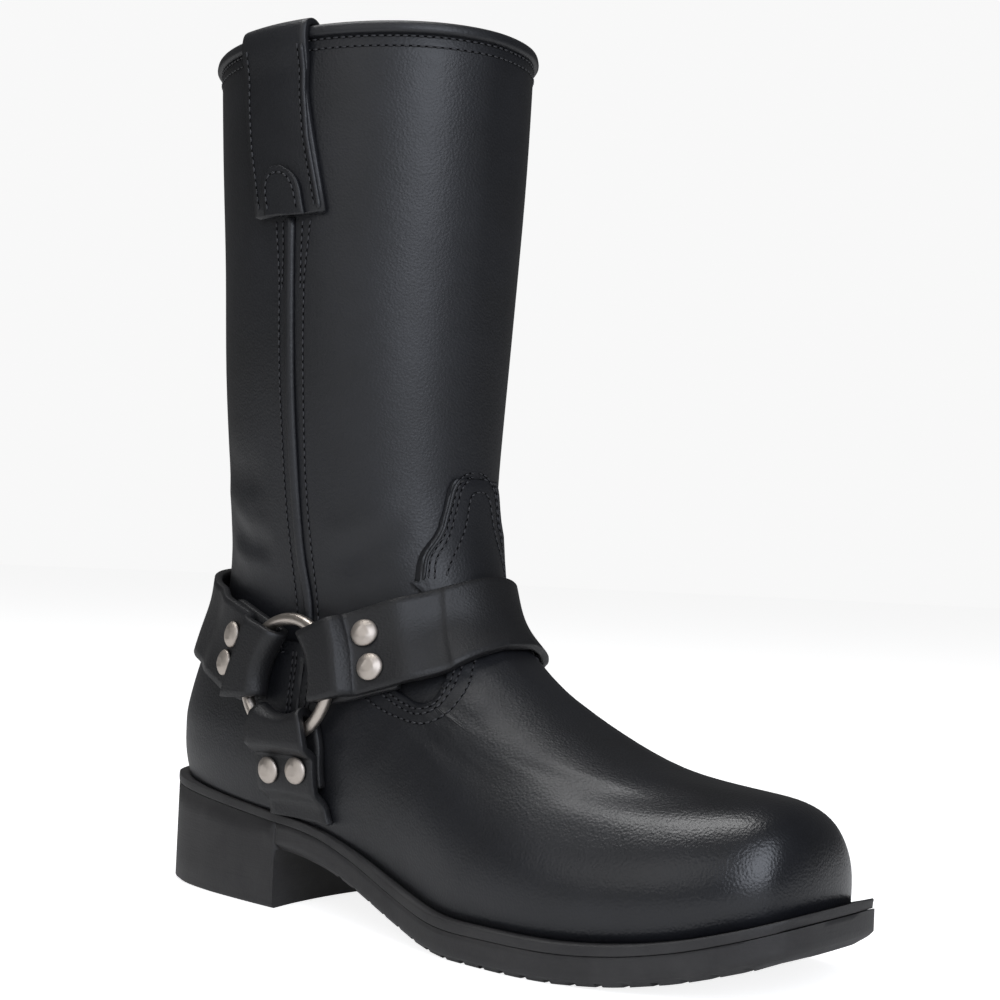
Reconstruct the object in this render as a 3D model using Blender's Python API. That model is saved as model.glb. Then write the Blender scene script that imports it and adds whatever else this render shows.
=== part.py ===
"""Motorcycle harness boot for the right foot: pull-on, square toe, ring harness at the ankle.

X runs from heel to toe, Y from the outer side (-Y) to the inner side (+Y), Z up.
Sizes are millimetres; add_piece() turns them into metres and the boot stands centred on the origin.
"""

import math

import bmesh
import bpy
import numpy as np

MM = 0.001

# Overall sizes
HEIGHT = 333.0
SOLE_LENGTH = 306.0
BALL_WIDTH = 112.0
COLLAR_HALF_WIDTH = 56.0
COLLAR_TILT = 3.5

# Sole sizes
HEEL_LENGTH = 84.0
BREAST_HEIGHT = 22.5
HEEL_PITCH = 8.0
TOE_SPRING = 17.0
OUTSOLE_THICK = 10.0
WELT_THICK = 3.3
WELT_PROUD = 0.1
WELT_STRIP = 14.0
EDGE_BEVEL = 2.4
BREAST_HOLLOW = 4.0
GROOVE_WIDTH = 2.2
GROOVE_DEPTH = 1.3
GROOVE_PITCH = 9.0
INSOLE_THICK = 3.0

# Leather sizes
LEDGE = 5.0
WALL = 2.4
OVERLAY_THICK = 1.6
STRAP_THICK = 3.0
PULL_THICK = 2.6
PULL_HALF_WIDTH = 16.0
PULL_TOP_RISE = 3.4
TAB_THICK = 1.4
TAB_HALF_WIDTH = 8.8
PIPING_HALF_WIDTH = 2.0
PIPING_HEIGHT = 2.2
BINDING_DEPTH = 4.8
BINDING_PROUD = 1.3

# Harness hardware
RING_OUTER = 49.0
RING_WIRE = 4.7
RIVET_WIDTH = 9.8
RIVET_HEIGHT = 2.2

# Clearances
GAP = 0.3
LEATHER_GAP = 0.45
STRAP_GAP = 0.6
STRAP_EASE = 0.8
FLAP_FALL = 15.0
UNDER_FLAP_FALL = 8.0

# Mesh density
AROUND = 38
LEVELS_SHAFT = 4
SOLE_STATIONS = 32

# Rings of the foot, as shares of the front's length from the feather line to the join: toe cap and instep closest
FOOT_RINGS = [0.0, 0.05, 0.095, 0.13, 0.17, 0.23, 0.37, 0.50, 0.595, 0.66, 0.72, 0.79, 0.865, 0.935, 1.0]

# Where the vamp ends and the shaft begins, as a share of the height
JOIN = 0.5
# Share of the levels that the foot takes
FOOT_SHARE = 0.55

# Sole outline: share of sole length, outer and inner half width as shares of ball width
OUTLINE = [
    (0.00, 0.268, 0.268),
    (0.08, 0.293, 0.288),
    (0.15, 0.329, 0.317),
    (0.255, 0.358, 0.318),
    (0.36, 0.375, 0.286),
    (0.49, 0.438, 0.304),
    (0.62, 0.516, 0.402),
    (0.70, 0.529, 0.442),
    (0.79, 0.494, 0.451),
    (0.88, 0.421, 0.429),
    (0.94, 0.357, 0.380),
    (1.00, 0.286, 0.312),
]
HEEL_ROUND, HEEL_POWER = 0.11, 2.2
TOE_ROUND, TOE_POWER = 0.12, 3.9

# Underside of the waist: share of sole length, share of breast height
WAIST = [(0.0, 1.0), (0.275, 1.0), (0.34, 0.9), (0.42, 0.62), (0.50, 0.27), (0.56, 0.06), (0.6, 0.0), (1.0, 0.0)]
# Toe spring: share of sole length, share of toe spring
SPRING = [(0.0, 0.0), (0.74, 0.0), (0.80, 0.07), (0.87, 0.27), (0.94, 0.62), (1.0, 1.0)]

# Front of the boot seen from the side, toe to collar: share of sole length, share of height
FRONT = [
    (0.9770, 0.085),
    (0.9766, 0.111),
    (0.9740, 0.138),
    (0.9620, 0.164),
    (0.9410, 0.181),
    (0.8970, 0.190),
    (0.8300, 0.194),
    (0.7500, 0.207),
    (0.6700, 0.236),
    (0.5930, 0.276),
    (0.5230, 0.325),
    (0.4850, 0.390),
    (0.4690, 0.4685),
    (0.4660, 0.5375),
    (0.4690, 0.6125),
    (0.4755, 0.724),
    (0.4835, 0.853),
    (0.4885, 1.0),
]
# Back of the boot seen from the side: share of height, share of sole length
BACK = [
    (0.0, 0.029),
    (0.116, 0.021),
    (0.161, 0.0100),
    (0.201, 0.0090),
    (0.251, 0.020),
    (0.300, 0.043),
    (0.360, 0.081),
    (0.420, 0.097),
    (0.480, 0.098),
    (0.5525, 0.089),
    (0.6635, 0.0745),
    (0.805, 0.058),
    (1.0, 0.0385),
]
# Heel cup and leg: share of height, half width as a share of the collar's
LEG = [
    (0.0, 0.513),
    (0.116, 0.559),
    (0.181, 0.612),
    (0.241, 0.625),
    (0.301, 0.642),
    (0.362, 0.687),
    (0.432, 0.756),
    (0.502, 0.820),
    (0.603, 0.890),
    (0.754, 0.941),
    (0.904, 0.968),
    (1.0, 0.970),
]

# Front of the leg where it runs down inside the foot: share of height, share of sole length
LEG_FRONT = [(0.0, 0.600), (0.18, 0.598), (0.24, 0.588), (0.28, 0.571), (0.32, 0.548), (0.5, 0.500)]
# Ridge of the foot where it runs back inside the leg: share of sole length, share of height
RIDGE = [(0.0, 0.330), (0.2, 0.360), (0.33, 0.385), (0.42, 0.375), (0.49, 0.346), (0.55, 0.305), (0.593, 0.276)]

# Vamp's tongue on the shaft's front: share of height, half width as a share of ball width
TONGUE = [
    (0.5150, 0.035),
    (0.5110, 0.066),
    (0.5030, 0.097),
    (0.4920, 0.121),
    (0.4700, 0.138),
    (0.4485, 0.156),
    (0.4350, 0.174),
    (0.4220, 0.198),
    (0.4100, 0.214),
    (0.3840, 0.224),
]
# Vamp's edge on the side, from tongue to side seam: share of sole length, share of height
VAMP_EDGE = [
    (0.4900, 0.336),
    (0.5115, 0.291),
    (0.5160, 0.271),
    (0.5090, 0.256),
    (0.4930, 0.252),
    (0.4725, 0.257),
    (0.4540, 0.264),
    (0.4180, 0.280),
    (0.3660, 0.299),
]
SEAM_TOP = 0.306
COUNTER_TOP_BACK = 0.297
# Side seam: share of height, share of sole length
SEAM = [(0.0, 0.3065), (0.25, 0.3065), (0.35, 0.3065), (0.40, 0.300), (0.50, 0.297), (0.80, 0.294), (1.0, 0.292)]

# Strap edges seen from the side: share of sole length, share of height
FRONT_STRAP_UPPER = [(0.319, 0.3145), (0.3615, 0.335), (0.3985, 0.348), (0.438, 0.363), (0.477, 0.379),
                     (0.500, 0.395), (0.523, 0.4145)]
FRONT_STRAP_LOWER = [(0.348, 0.2405), (0.366, 0.241), (0.397, 0.2465), (0.4265, 0.255), (0.474, 0.2685),
                     (0.518, 0.287), (0.549, 0.314), (0.575, 0.340)]
BACK_STRAP_UPPER = [(0.020, 0.3935), (0.085, 0.380), (0.131, 0.368), (0.167, 0.358), (0.216, 0.343),
                    (0.242, 0.3335), (0.267, 0.325), (0.2925, 0.3125)]
BACK_STRAP_LOWER = [(0.020, 0.286), (0.082, 0.273), (0.140, 0.2575), (0.180, 0.243), (0.216, 0.233),
                    (0.243, 0.2365), (0.266, 0.242)]
# Under strap: share of height, rear and front edge as shares of sole length
UNDER_STRAP = [(0.105, 0.279, 0.3785), (0.115, 0.2765, 0.375), (0.132, 0.2715, 0.370), (0.150, 0.2665, 0.365),
               (0.180, 0.263, 0.362), (0.199, 0.2595, 0.359), (0.211, 0.261, 0.3545), (0.225, 0.2665, 0.3445),
               (0.234, 0.2715, 0.3395)]
# Pull strap's middle line: share of height, share of sole length
PULL_MIDDLE = [(0.78, 0.295), (0.826, 0.285), (0.877, 0.272), (0.931, 0.265), (1.0, 0.262)]
PULL_FOOT = 0.790
PULL_INSIDE_FOOT = 0.872
TAB_TOP = 0.846

# Ring centre, seen from the side
RING_CENTRE = (0.3055, 0.2665)
# Fold of each strap: its two corners by the ring, as shares of sole length
FRONT_FOLD = (0.319, 0.348)
BACK_FOLD = (0.2925, 0.266)
UNDER_FOLD = 10.6
FOLD_BOW = 3.5
BOW_REACH = 15.0
FLAP_LENGTH = 33.0
UNDER_FLAP_LENGTH = 28.5
# Around the ring the straps lie flat in its plane, and on the boot farther off
HOLD_START, HOLD_END = 25.0, 43.0
RIVETS = {
    "front": [(0.411, 0.318), (0.4305, 0.2825)],
    "back": [(0.2015, 0.3085), (0.189, 0.2735)],
    "under": [(0.2905, 0.1635), (0.338, 0.167)],
}

LEATHER = ("black_leather", (0.020, 0.020, 0.022), 0.38, 0.0)
STRAP = ("strap_leather", (0.017, 0.017, 0.019), 0.42, 0.0)
LINING = ("insole_board", (0.090, 0.075, 0.060), 0.85, 0.0)
RUBBER = ("sole_rubber", (0.028, 0.028, 0.030), 0.65, 0.0)
NICKEL = ("brushed_nickel", (0.560, 0.540, 0.500), 0.32, 1.0)


def follow(table, at, column=1):
    """Read a table at its first column, on a smooth curve that doesn't overshoot its rows."""
    xs = np.array([row[0] for row in table], float)
    ys = np.array([row[column] for row in table], float)
    step = np.diff(xs)
    rise = np.diff(ys) / step
    slope = np.zeros_like(ys)
    for i in range(1, len(xs) - 1):
        if rise[i - 1] * rise[i] > 0:
            near = 2 * step[i] + step[i - 1]
            far = step[i] + 2 * step[i - 1]
            slope[i] = (near + far) / (near / rise[i - 1] + far / rise[i])
    slope[0], slope[-1] = rise[0], rise[-1]
    at = np.clip(np.asarray(at, float), xs[0], xs[-1])
    i = np.clip(np.searchsorted(xs, at, side="right") - 1, 0, len(step) - 1)
    s = (at - xs[i]) / step[i]
    return (
        (1 + 2 * s) * (1 - s) ** 2 * ys[i]
        + s * (1 - s) ** 2 * step[i] * slope[i]
        + s * s * (3 - 2 * s) * ys[i + 1]
        + s * s * (s - 1) * step[i] * slope[i + 1]
    )


def smooth_path(points, steps):
    """A rounded line through points, steps to each span."""
    pts = np.asarray(points, float)
    ends = np.vstack([2 * pts[0] - pts[1], pts, 2 * pts[-1] - pts[-2]])
    out = []
    for i in range(len(pts) - 1):
        a, b, c, d = ends[i : i + 4]
        knots = np.cumsum([0.0] + [max(np.linalg.norm(q - p), 1e-9) ** 0.5 for p, q in ((a, b), (b, c), (c, d))])
        t = np.linspace(knots[1], knots[2], steps, endpoint=False)[:, None]
        ab = ((knots[1] - t) * a + (t - knots[0]) * b) / (knots[1] - knots[0])
        bc = ((knots[2] - t) * b + (t - knots[1]) * c) / (knots[2] - knots[1])
        cd = ((knots[3] - t) * c + (t - knots[2]) * d) / (knots[3] - knots[2])
        abc = ((knots[2] - t) * ab + (t - knots[0]) * bc) / (knots[2] - knots[0])
        bcd = ((knots[3] - t) * bc + (t - knots[1]) * cd) / (knots[3] - knots[1])
        out.append(((knots[2] - t) * abc + (t - knots[1]) * bcd) / (knots[2] - knots[1]))
    return np.vstack(out + [pts[-1:]])


def rounded(share, span, power):
    """Factor that turns an outline in over the first span of its length, 0 at its tip."""
    k = np.clip(1 - share / span, 0, 1)
    return (1 - k**power) ** (1 / power)


def outline(share, side, inset=0.0):
    """Half width of the sole at a share of its length, on the outer (-1) or inner (1) side."""
    width = follow(OUTLINE, share, 1 if side < 0 else 2) * BALL_WIDTH - inset
    return width * rounded(share, HEEL_ROUND, HEEL_POWER) * rounded(1 - share, TOE_ROUND, TOE_POWER)


def sole_bottom(x):
    """Height of the outsole's underside."""
    share = np.asarray(x, float) / SOLE_LENGTH
    pitch = HEEL_PITCH * np.clip(1 - np.asarray(x, float) / HEEL_LENGTH, 0, 1)
    return BREAST_HEIGHT * follow(WAIST, share) + pitch + TOE_SPRING * follow(SPRING, share)


def welt_bottom(x):
    return sole_bottom(x) + OUTSOLE_THICK + GAP


def welt_top(x):
    return welt_bottom(x) + WELT_THICK


def feather(x):
    """Height of the upper's lower edge, just over the welt."""
    return welt_top(x) + LEATHER_GAP


# Outer surface of the upper

FRONT_CURVE = smooth_path(np.array(FRONT) * [SOLE_LENGTH, HEIGHT], 20)
FRONT_ARC = np.concatenate([[0.0], np.cumsum(np.linalg.norm(np.diff(FRONT_CURVE, axis=0), axis=1))])
JOIN_Z = JOIN * HEIGHT
JOIN_X = float(np.interp(JOIN_Z, FRONT_CURVE[:, 1], FRONT_CURVE[:, 0]))
TOE_X = float(FRONT_CURVE[0, 0])
HEEL_X = float(follow(BACK, feather(0.02 * SOLE_LENGTH) / HEIGHT) * SOLE_LENGTH)
LEG_BLEND = 4
SIDE_BULGE = 0.05
# Roundness of the leg's back half: share of height, exponent of its curve
BACK_CURVE = [(0.0, 2.4), (0.5, 2.5), (0.62, 2.2), (0.76, 2.0), (1.0, 2.0)]


def back_x(z):
    return follow(BACK, np.asarray(z, float) / HEIGHT) * SOLE_LENGTH


def leg_front_x(z):
    """Front of the leg, which runs on inside the foot low down."""
    z = np.asarray(z, float)
    front = np.interp(z, FRONT_CURVE[:, 1], FRONT_CURVE[:, 0])
    return np.minimum(front, follow(LEG_FRONT, z / HEIGHT) * SOLE_LENGTH)


def ridge_z(x):
    """Height of the foot's ridge over x."""
    low = FRONT_CURVE[FRONT_CURVE[:, 1] < JOIN_Z][::-1]
    inside = follow(RIDGE, x / SOLE_LENGTH) * HEIGHT
    return np.where(x < RIDGE[-1][0] * SOLE_LENGTH, inside, np.interp(x, low[:, 0], low[:, 1]))


def half_width(x, z, side):
    """Half width of the boot at a place in its side view: the foot and the leg, blended."""
    floor, ridge = feather(x), ridge_z(x)
    rise = np.clip((z - floor) / np.maximum(ridge - floor, 1e-6), 0, 1)
    back, front = back_x(z), leg_front_x(z)
    share = np.clip((x - back) / (TOE_X - back), 0, 1)
    width = np.maximum(outline(share, side, LEDGE), 0)
    width = width * (1 + SIDE_BULGE * np.sin(np.pi * np.minimum(rise * 1.6, 1)))
    power = 3.0 - 0.7 * np.clip((0.85 - share) / 0.4, 0, 1)
    foot = width * np.sqrt(np.clip(1 - rise**power, 0, 1))
    middle, reach = (back + front) / 2, (front - back) / 2
    along = np.clip((x - middle) / reach, -1, 1)
    curve = np.where(along < 0, follow(BACK_CURVE, z / HEIGHT), 2.0)
    leg = follow(LEG, z / HEIGHT) * COLLAR_HALF_WIDTH * (1 - np.abs(along) ** curve) ** (1 / curve)
    return (foot**LEG_BLEND + leg**LEG_BLEND) ** (1 / LEG_BLEND)


def level_ends(level):
    """Back and front of the ring at each level, 0 at the feather line and 1 at the collar."""
    level = np.asarray(level, float)
    join_arc = np.interp(JOIN_Z, FRONT_CURVE[:, 1], FRONT_ARC)
    foot = np.clip(level / FOOT_SHARE, 0, 1)
    front_x = np.interp(foot * join_arc, FRONT_ARC, FRONT_CURVE[:, 0])
    front_z = np.interp(foot * join_arc, FRONT_ARC, FRONT_CURVE[:, 1])
    start_z = feather(HEEL_X)
    back_z = start_z + (JOIN_Z - start_z) * foot
    shaft = np.clip((level - FOOT_SHARE) / (1 - FOOT_SHARE), 0, None)
    z = JOIN_Z + (HEIGHT - JOIN_Z) * shaft
    front_x = np.where(shaft > 0, np.interp(z, FRONT_CURVE[:, 1], FRONT_CURVE[:, 0]), front_x)
    front_z = np.where(shaft > 0, z + COLLAR_TILT * shaft, front_z)
    back_z = np.where(shaft > 0, z, back_z)
    return back_x(back_z), back_z, front_x, front_z


def level_z(level, x):
    """Height of a ring over x: it follows the feather line low down and is level in the shaft."""
    back, back_z, front, front_z = level_ends(level)
    share = (x - back) / (front - back)
    fade = np.clip(1 - np.asarray(level) / (0.6 * FOOT_SHARE), 0, 1) ** 1.5
    straight = feather(back) + (feather(front) - feather(back)) * share
    return back_z + (front_z - back_z) * share + (feather(x) - straight) * fade


def bare_surface(level, angle):
    """Point of the fitted form; angle 0 is the front, positive angles are the outer side."""
    level, angle = np.broadcast_arrays(np.asarray(level, float), np.asarray(angle, float))
    back, _, front, _ = level_ends(level)
    x = (front + back) / 2 + (front - back) / 2 * np.cos(angle)
    z = level_z(level, x)
    outer = np.sin(angle) >= 0
    y = np.where(outer, -half_width(x, z, -1), half_width(x, z, 1))
    return np.stack([x, y, z], axis=-1)


def surface(level, angle, lift=0.0):
    """Point at a height over the upper's leather. The foot lies deeper by the overlays' thickness."""
    level, angle, lift = np.broadcast_arrays(*(np.asarray(v, float) for v in (level, angle, lift)))
    turn, climb = 0.02, 0.006
    across = bare_surface(level, angle + turn) - bare_surface(level, angle - turn)
    low = np.clip(level - climb, 0, 1 - 2 * climb)
    up = bare_surface(low + 2 * climb, angle) - bare_surface(low, angle)
    normal = np.cross(up, across)
    normal /= np.linalg.norm(normal, axis=-1, keepdims=True)
    point = bare_surface(level, angle)
    sink = (OVERLAY_THICK + LEATHER_GAP) * np.clip((0.40 - point[..., 2] / HEIGHT) / 0.12, 0, 1)
    return point + normal * (lift - sink)[..., None]


def shaft_level(z):
    """Level of a height in the shaft."""
    return FOOT_SHARE + (1 - FOOT_SHARE) * (np.asarray(z, float) - JOIN_Z) / (HEIGHT - JOIN_Z)


def angle_at(level, x, side):
    """Angle of a place on a ring."""
    back, _, front, _ = level_ends(level)
    return np.arccos(np.clip((2 * x - back - front) / (front - back), -1, 1)) * (1 if side < 0 else -1)


def locate(x, z, side):
    """Level and angle of a place given in the side view."""
    x, z = np.broadcast_arrays(np.asarray(x, float), np.asarray(z, float))
    low, high = np.zeros(x.shape), np.ones(x.shape)
    for _ in range(26):
        middle = (low + high) / 2
        back, _, front, _ = level_ends(middle)
        below = level_z(middle, np.clip(x, back, front)) < z
        low, high = np.where(below, middle, low), np.where(below, high, middle)
    return low, angle_at(low, x, side)


def on_boot(x, z, side, lift=0.0):
    level, angle = locate(x, z, side)
    return surface(level, angle, lift)


# Meshes

def add_piece(name, points, faces, finish, smooth=35.0):
    """One solid from points in millimetres, its faces turned outwards."""
    mesh = bpy.data.meshes.new(name)
    mesh.from_pydata([tuple(p) for p in np.asarray(points, float) * MM], [], faces)
    tidy = bmesh.new()
    tidy.from_mesh(mesh)
    bmesh.ops.remove_doubles(tidy, verts=tidy.verts, dist=0.00001)
    bmesh.ops.recalc_face_normals(tidy, faces=tidy.faces)
    tidy.to_mesh(mesh)
    tidy.free()
    mesh.shade_smooth()
    mesh.set_sharp_from_angle(angle=math.radians(smooth))
    piece = bpy.data.objects.new(name, mesh)
    bpy.context.collection.objects.link(piece)
    if finish:
        mesh.materials.append(material(*finish))
    return piece


def material(name, colour, roughness, metallic):
    found = bpy.data.materials.get(name)
    if found:
        return found
    made = bpy.data.materials.new(name)
    made.use_nodes = True
    shader = made.node_tree.nodes["Principled BSDF"]
    shader.inputs["Base Color"].default_value = (*colour, 1.0)
    shader.inputs["Roughness"].default_value = roughness
    shader.inputs["Metallic"].default_value = metallic
    made.diffuse_color = (*colour, 1.0)
    return made


def loft(rings, closed_loft=False, halves=False):
    """Points and faces of a skin through rings of equal count, capped at both ends.

    With halves its faces are triangles, and the ways out and back have the same diagonals.
    """
    rings = [np.asarray(r, float) for r in rings]
    count = len(rings[0])
    faces = []
    spans = len(rings) if closed_loft else len(rings) - 1
    for i in range(spans):
        here, there = i * count, ((i + 1) % len(rings)) * count
        for j in range(count):
            k = (j + 1) % count
            if halves and i < len(rings) // 2:
                faces.append((here + j, here + k, there + k))
                faces.append((here + j, there + k, there + j))
            elif halves:
                faces.append((here + j, here + k, there + j))
                faces.append((here + k, there + k, there + j))
            else:
                faces.append((here + j, here + k, there + k, there + j))
    if not closed_loft:
        faces.append(tuple(range(count))[::-1])
        last = (len(rings) - 1) * count
        faces.append(tuple(range(last, last + count)))
    return np.vstack(rings), faces


def cut(piece, cutter, operation):
    """Apply a Boolean with a cutter and take the cutter away."""
    change = piece.modifiers.new("cut", "BOOLEAN")
    change.operation = operation
    change.solver = "EXACT"
    change.object = cutter
    graph = bpy.context.evaluated_depsgraph_get()
    mesh = bpy.data.meshes.new_from_object(piece.evaluated_get(graph))
    piece.modifiers.clear()
    old = piece.data
    mesh.name = old.name
    piece.data = mesh
    bpy.data.meshes.remove(old)
    bpy.data.objects.remove(cutter)


def prism(name, polygons, near, far, place):
    """Blocks with the polygons as outlines; place() puts a depth and an outline point into space."""
    points, faces, count = [], [], 0
    for polygon in polygons:
        block, sides = loft([[place(depth, a, b) for a, b in polygon] for depth in (near, far)])
        points.append(block)
        faces += [tuple(count + i for i in side) for side in sides]
        count += len(block)
    return add_piece(name, np.vstack(points), faces, None)


def side_prism(name, polygons):
    """Blocks through the whole boot whose outlines are drawn in its side view."""
    return prism(name, polygons, -BALL_WIDTH, BALL_WIDTH, lambda y, x, z: (x, y, z))


def front_prism(name, polygons):
    """Blocks through the front half of the boot whose outlines are drawn in its front view."""
    return prism(name, polygons, 0.3 * SOLE_LENGTH, SOLE_LENGTH, lambda x, y, z: (x, y, z))


def cut_grooves(piece, first, last, floor):
    """Cross grooves of the tread between two places."""
    polygons = []
    x = first
    while x < last:
        low, high = float(floor(x)) - 3 * GROOVE_DEPTH, float(floor(x)) + GROOVE_DEPTH
        left, right = x - GROOVE_WIDTH / 2, x + GROOVE_WIDTH / 2
        polygons.append([(left, low), (right, low), (right, high), (left, high)])
        x += GROOVE_PITCH
    cut(piece, side_prism("grooves", polygons), "DIFFERENCE")


# Sole

def sole_loop(stations, inset, height, start=0.0):
    """Outline points: up the outer side, round the toe and back on the inner side."""
    shares = np.asarray(stations)
    x = inset + shares * (SOLE_LENGTH - 2 * inset)
    if start > 0:
        x = start + (x - x[0]) * (x[-1] - start) / (x[-1] - x[0])
    place = np.clip((x - inset) / (SOLE_LENGTH - 2 * inset), 0, 1)
    outer = np.stack([x, -outline(place, -1, inset), height(x)], axis=1)
    inner = np.stack([x, outline(place, 1, inset), height(x)], axis=1)
    tail = 0 if start > 0 else 1
    return np.vstack([outer, inner[tail:-1][::-1]])


def ladder(first, count, tail):
    """Faces that close a sole loop, rung by rung from heel to toe."""
    faces = []
    total = 2 * count - 1 - tail
    for i in range(count - 1):
        left, right = first + i, first + i + 1
        mirror_left = first + (total - i + tail - 1) % total if (i > 0 or not tail) else None
        mirror_right = first + (total - i - 1 + tail - 1) % total if i < count - 2 else None
        corners = [left, right]
        if mirror_right is not None:
            corners.append(mirror_right)
        if mirror_left is not None:
            corners.append(mirror_left)
        faces.append(tuple(corners))
    return faces


def plate(name, loops, finish, tail):
    """A sole layer from loops, lowest first."""
    count = (len(loops[0]) + 1 + tail) // 2
    points, faces = loft(loops)
    faces = faces[:-2]
    faces += ladder(0, count, tail)
    faces += ladder((len(loops) - 1) * len(loops[0]), count, tail)
    return add_piece(name, points, faces, finish)


def even_stations(count):
    """Shares of a length, closer together at both ends."""
    even = np.linspace(0, 1, count)
    return 0.45 * even + 0.55 * (1 - np.cos(np.pi * even)) / 2


def make_outsole():
    even = np.linspace(0, 1, SOLE_STATIONS)
    shares = 0.45 * even + 0.55 * np.sin(even * np.pi / 2)
    start = HEEL_LENGTH + GAP
    layers = [(EDGE_BEVEL, 0.0), (0.0, EDGE_BEVEL), (0.0, OUTSOLE_THICK)]
    loops = [sole_loop(shares, inset, lambda x, up=up: sole_bottom(x) + up, start) for inset, up in layers]
    sole = plate("outsole", loops, RUBBER, 0)
    cut_grooves(sole, HEEL_LENGTH + 4 * GROOVE_PITCH, SOLE_LENGTH - GROOVE_PITCH, sole_bottom)
    return sole


def make_heel():
    """The heel block: hollow across its breast, up to the outsole's underside, and straight above it."""
    share = np.linspace(0, 1, 13) ** 1.6
    step = BREAST_HEIGHT - GAP
    layers = [
        (EDGE_BEVEL / 2, BREAST_HOLLOW, lambda x: 0 * x),
        (0.0, BREAST_HOLLOW, lambda x: 0 * x + EDGE_BEVEL / 2),
        (0.0, BREAST_HOLLOW, lambda x: 0 * x + step),
        (0.0, 0.0, lambda x: 0 * x + step),
        (0.0, 0.0, lambda x: sole_bottom(x) + OUTSOLE_THICK),
    ]
    loops = []
    for inset, hollow, height in layers:
        x = inset + share * (HEEL_LENGTH - inset)
        place = (x - inset) / (SOLE_LENGTH - 2 * inset)
        outer = np.stack([x, -outline(place, -1, inset), height(x)], axis=1)
        inner = np.stack([x, outline(place, 1, inset), height(x)], axis=1)
        way = np.linspace(0, 1, 8)[1:-1, None]
        breast = outer[-1] + (inner[-1] - outer[-1]) * way
        breast[:, :1] -= hollow * (1 - (2 * way - 1) ** 2)
        loops.append(np.vstack([outer, breast, inner[1:][::-1]]))
    points, faces = loft(loops)
    heel = add_piece("heel", points, faces, RUBBER)
    return heel


def make_welt():
    shares = even_stations(SOLE_STATIONS)
    middle = WELT_THICK / 2
    layers = [(0.0, 0.0), (-WELT_PROUD, middle), (0.0, WELT_THICK), (WELT_STRIP, WELT_THICK), (WELT_STRIP, 0.0)]
    loops = [sole_loop(shares, inset, lambda x, up=up: welt_bottom(x) + up) for inset, up in layers]
    points, faces = loft(loops, closed_loft=True)
    return add_piece("welt", points, faces, RUBBER)


def make_insole():
    """The insole board: its lower step fills the welt, its upper one the foot of the upper."""
    shares = even_stations(SOLE_STATIONS)
    inside = 1.5 * LEDGE + WALL + OVERLAY_THICK + 3 * LEATHER_GAP
    layers = [
        (WELT_STRIP + GAP, welt_bottom),
        (WELT_STRIP + GAP, feather),
        (inside + GAP, feather),
        (inside + GAP, lambda x: feather(x) + INSOLE_THICK),
    ]
    loops = [sole_loop(shares, inset, height) for inset, height in layers]
    return plate("insole", loops, LINING, 1)


# Upper

def upper_levels(top):
    """Levels of the rings, from the feather line to a height in the shaft."""
    foot = FOOT_SHARE * np.array(FOOT_RINGS)
    shaft = np.linspace(FOOT_SHARE, float(shaft_level(top)), LEVELS_SHAFT + 1)[1:]
    return np.concatenate([foot, shaft])


def ring_angles():
    """Angles of a ring's points, closer together along the boot's sides."""
    even = np.arange(AROUND) / AROUND * 2 * np.pi
    return even + 0.13 * np.sin(2 * even)


def wall(name, levels, inner_lift, outer_lift, finish):
    """A hollow form between two lifts over the upper's surface, open below and at its top."""
    angles = ring_angles()
    outer = [surface(level, angles, outer_lift) for level in levels]
    inner = [surface(level, angles, inner_lift) for level in levels]
    points, faces = loft(outer + inner[::-1], closed_loft=True, halves=True)
    return add_piece(name, points, faces, finish)


def make_upper():
    top = HEIGHT - BINDING_DEPTH - GAP
    return wall("upper", upper_levels(top), -WALL, 0.0, LEATHER)


def flare_x():
    """Where the foot of the tongue's edge lies in the side view."""
    z, width = TONGUE[-1][0] * HEIGHT, TONGUE[-1][1] * BALL_WIDTH
    x = np.linspace(0.3 * SOLE_LENGTH, JOIN_X, 400)
    wide = half_width(x, np.full_like(x, z), -1) > width
    return float(x[np.nonzero(wide)[0][-1]])


def seam_x(z):
    return float(follow(SEAM, z / HEIGHT) * SOLE_LENGTH)


def overlay(name, polygon, top):
    """A leather overlay cut from a skin over the upper."""
    levels = [level for level in upper_levels(HEIGHT) if level < shaft_level(top) + 0.06]
    skin = wall(name, levels, LEATHER_GAP, LEATHER_GAP + OVERLAY_THICK, LEATHER)
    cut(skin, side_prism(name + "_outline", [polygon]), "INTERSECT")
    skin.data.shade_smooth()
    skin.data.set_sharp_from_angle(angle=math.radians(35))
    return skin


def make_vamp():
    """The vamp: its edge is drawn in the side view, and its tongue in the front view."""
    top, flare = TONGUE[0][0] * HEIGHT, TONGUE[-1][0] * HEIGHT
    behind, beyond = 0.31 * SOLE_LENGTH, 1.1 * SOLE_LENGTH
    side_edge = [(flare_x(), flare)] + [(x * SOLE_LENGTH, z * HEIGHT) for x, z in VAMP_EDGE]
    side_edge += [(seam_x(SEAM_TOP * HEIGHT) + GAP, SEAM_TOP * HEIGHT)]
    edge = [tuple(point) for point in smooth_path(side_edge, 2)]
    polygon = [(beyond, 1.1 * top), (behind, 1.1 * top), (behind, flare)] + edge
    polygon += [(edge[-1][0], -10.0), (beyond, -10.0)]
    vamp = overlay("vamp", polygon, top)
    line = smooth_path([(width * BALL_WIDTH, share * HEIGHT) for share, width in TONGUE], 2)
    wide = 0.6 * BALL_WIDTH
    outside = [(0.0, 1.2 * top), (0.0, top)] + [tuple(point) for point in line]
    outside += [(outside[-1][0], flare - GAP), (wide, flare - GAP), (wide, 1.2 * top)]
    cut(vamp, front_prism("beside_tongue", [outside, [(-y, z) for y, z in outside]]), "DIFFERENCE")
    return vamp


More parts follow.
